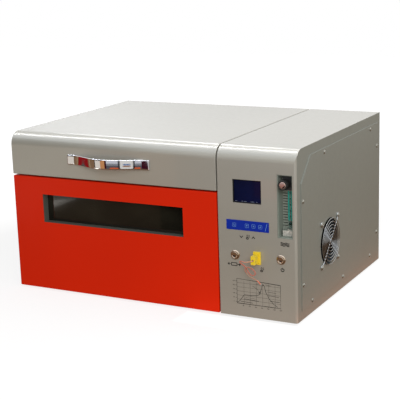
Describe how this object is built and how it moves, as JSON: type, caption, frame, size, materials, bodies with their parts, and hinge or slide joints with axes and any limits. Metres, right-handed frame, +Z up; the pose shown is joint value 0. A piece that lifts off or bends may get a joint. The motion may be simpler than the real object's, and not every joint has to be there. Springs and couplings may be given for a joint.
{
  "type": "reflow oven",
  "caption": "Bench-top reflow oven: motor-driven red drawer with window, rear-hinged grey hood, and a side control cabinet with display, keypad, flow meter and cooling fan.",
  "frame": {"origin": "on the bench under the middle of the oven's bounding box", "axes": "+Z up, +X to the right seen from the front, +Y to the rear; the front panel faces -Y"},
  "size_m": [0.6161, 0.4981, 0.319],
  "materials": {
    "grey_paint": "silver-grey metallic powder coat, satin",
    "cover_paint": "silver-grey metallic powder coat, satin",
    "frame_paint": "grey powder coat behind the drawer",
    "red_paint": "orange-red powder coat, satin",
    "zinc_sheet": "zinc-plated sheet steel",
    "stainless": "brushed stainless sheet",
    "machined_steel": "machined steel",
    "chrome": "polished chrome",
    "rubber": "black rubber",
    "ceramic_fibre": "pressed ceramic fibre board",
    "fibre_rope": "woven ceramic fibre sealing rope",
    "quartz": "quartz tube with glazed ceramic ends",
    "motor_black": "black motor enamel",
    "glass_dark": "dark heat-resistant glass",
    "window_grey": "grey-green enamel",
    "display": "dark blue display under glass",
    "keypad": "blue membrane keypad film",
    "circuit": "green circuit board",
    "meter_body": "grey-green moulded channel",
    "clear_glass": "clear flow tube",
    "black_plastic": "black moulded plastic",
    "red_plastic": "red rocker",
    "yellow_plastic": "yellow thermoset",
    "wire_sleeve": "braided orange-brown glass fibre sleeve",
    "fan_aluminium": "die-cast aluminium",
    "brass": "machined brass"
  },
  "bodies": {
    "carcase": {"base_pan": "zinc_sheet", "rubber_feet": "rubber", "cabinet_shell": "grey_paint", "centre_partition": "grey_paint", "rear_panel": "grey_paint", "left_side_panel": "grey_paint", "oven_front_frame": "frame_paint", "side_cover": "cover_paint", "panel_screws": "chrome", "chamber_liner": "stainless", "chamber_insulation": "ceramic_fibre", "lower_heaters": "quartz", "circulation_fan_motor": "motor_black", "exhaust_spigot": "stainless", "hinge_body_leaves": "machined_steel", "hinge_pins": "chrome", "slide_outer_members": "zinc_sheet", "drive_motor": "motor_black", "display_module": "display", "keypad_membrane": "keypad", "controller_board": "circuit", "button_housings": "chrome", "flow_meter_housing": "meter_body", "flow_tube": "clear_glass", "sensor_socket": "yellow_plastic", "cooling_fan_frame": "fan_aluminium", "fan_guard": "chrome", "power_supply": "stainless", "relay_heat_sink": "fan_aluminium", "solenoid_valve": "brass", "nitrogen_inlet": "machined_steel", "mains_inlet": "black_plastic"},
    "hood": {"lid_shell": "grey_paint", "lid_handle": "chrome", "lid_handle_screws": "chrome", "lid_liner": "stainless", "lid_insulation": "ceramic_fibre", "upper_heaters": "quartz", "lid_gasket": "fibre_rope", "hinge_lid_leaves": "machined_steel"},
    "drawer": {"drawer_front": "red_paint", "window_frame": "window_grey", "window_glass": "glass_dark", "drawer_inner_panel": "stainless", "drawer_gasket": "fibre_rope", "work_tray": "stainless", "drawer_carriage": "zinc_sheet", "drawer_rack": "machined_steel", "slide_inner_members": "zinc_sheet"},
    "slide_middles": {"slide_middle_members": "zinc_sheet"},
    "pinion": {"drive_pinion": "brass"},
    "air_wheel": {"circulation_fan_wheel": "stainless"},
    "fan_rotor": {"cooling_fan_rotor": "black_plastic"},
    "drawer_push_button": {"drawer_button": "machined_steel"},
    "nitrogen_push_button": {"nitrogen_button": "machined_steel"},
    "meter_float": {"flow_float": "black_plastic"},
    "meter_knob": {"flow_knob": "black_plastic"},
    "sensor_lead": {"sensor_plug": "yellow_plastic", "sensor_wire": "wire_sleeve"},
    "rocker": {"mains_switch": "red_plastic"}
  },
  "joints": [
    {"name": "hood_hinge", "type": "hinge", "parent": "carcase", "child": "hood", "pos_m": [-0.07625, 0.228, 0.234], "axis": [-1, 0, 0], "range_deg": [0, 95]},
    {"name": "drawer_slide", "type": "slide", "parent": "carcase", "child": "drawer", "axis": [0, -1, 0], "range_m": [0, 0.28]},
    {"name": "slide_middle_travel", "type": "slide", "parent": "carcase", "child": "slide_middles", "axis": [0, -1, 0], "range_m": [0, 0.14]},
    {"name": "pinion_turn", "type": "hinge", "parent": "carcase", "child": "pinion", "pos_m": [-0.07625, -0.1705, 0.03612], "axis": [1, 0, 0], "range_deg": [0, 1200]},
    {"name": "air_wheel_turn", "type": "hinge", "parent": "carcase", "child": "air_wheel", "pos_m": [-0.07625, 0.1295, 0.167], "axis": [0, 1, 0], "continuous": true},
    {"name": "cooling_fan_turn", "type": "hinge", "parent": "carcase", "child": "fan_rotor", "pos_m": [0.293, -0.0685, 0.1183], "axis": [1, 0, 0], "continuous": true},
    {"name": "drawer_button_press", "type": "slide", "parent": "carcase", "child": "drawer_push_button", "axis": [0, 1, 0], "range_m": [0, 0.0025], "stiffness_N_per_m": 400, "springref_m": -0.0005},
    {"name": "nitrogen_button_press", "type": "slide", "parent": "carcase", "child": "nitrogen_push_button", "axis": [0, 1, 0], "range_m": [0, 0.0025], "stiffness_N_per_m": 400, "springref_m": -0.0005},
    {"name": "flow_float_rise", "type": "slide", "parent": "carcase", "child": "meter_float", "axis": [0, 0, 1], "range_m": [0, 0.055]},
    {"name": "flow_knob_turn", "type": "hinge", "parent": "carcase", "child": "meter_knob", "pos_m": [0.2829, -0.2225, 0.2578], "axis": [0, -1, 0], "range_deg": [0, 1440]},
    {"name": "sensor_plug_pull", "type": "slide", "parent": "carcase", "child": "sensor_lead", "axis": [0, -1, 0], "range_m": [0, 0.025]},
    {"name": "mains_rocker", "type": "hinge", "parent": "carcase", "child": "rocker", "pos_m": [0.255, 0.2215, 0.0675], "axis": [1, 0, 0], "range_deg": [0, 20]}
  ],
  "couplings": [
    {"joint": "slide_middle_travel", "follows": "drawer_slide", "ratio": 0.5},
    {"joint": "pinion_turn", "follows": "drawer_slide", "rad_per_m": 74.074}
  ]
}
